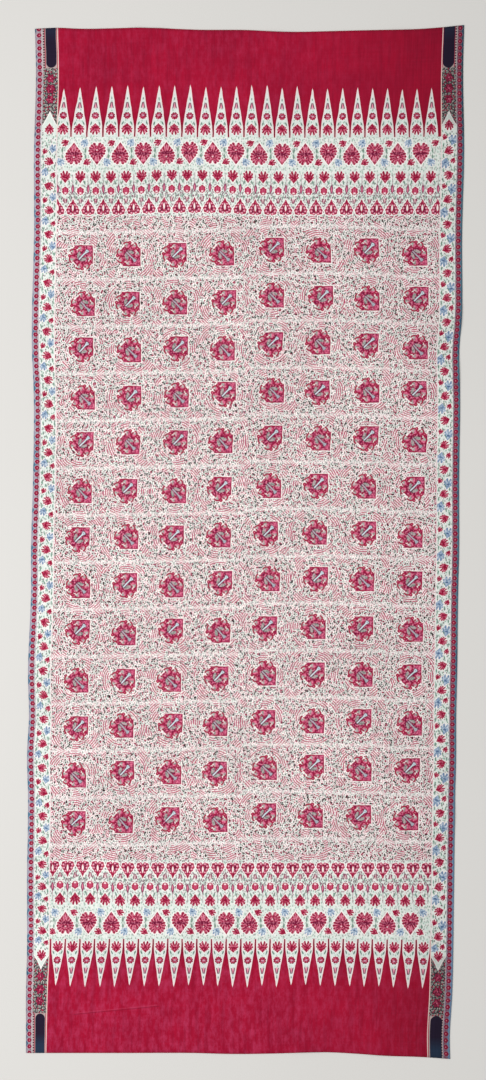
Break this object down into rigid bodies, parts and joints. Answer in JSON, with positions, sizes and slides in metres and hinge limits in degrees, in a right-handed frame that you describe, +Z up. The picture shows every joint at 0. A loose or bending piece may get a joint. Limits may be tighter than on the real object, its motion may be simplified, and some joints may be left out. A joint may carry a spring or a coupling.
{
  "type": "block-printed textile",
  "caption": "Long printed cotton cloth lying flat, with plain red ends, toothed and floral bands at both ends, flowered side borders and a field of palmettes.",
  "frame": {"origin": "under the middle of the cloth's box, on the surface that it lies on", "axes": "+Y along the cloth's length, +X across it, +Z up from its printed side"},
  "size_m": [1.0952, 2.5846, 0.0042],
  "materials": {
    "printed_cotton": "plain-woven cotton, block printed and mordant dyed, matt"
  },
  "bodies": {
    "root": {"cloth": "printed_cotton"}
  },
  "joints": []
}
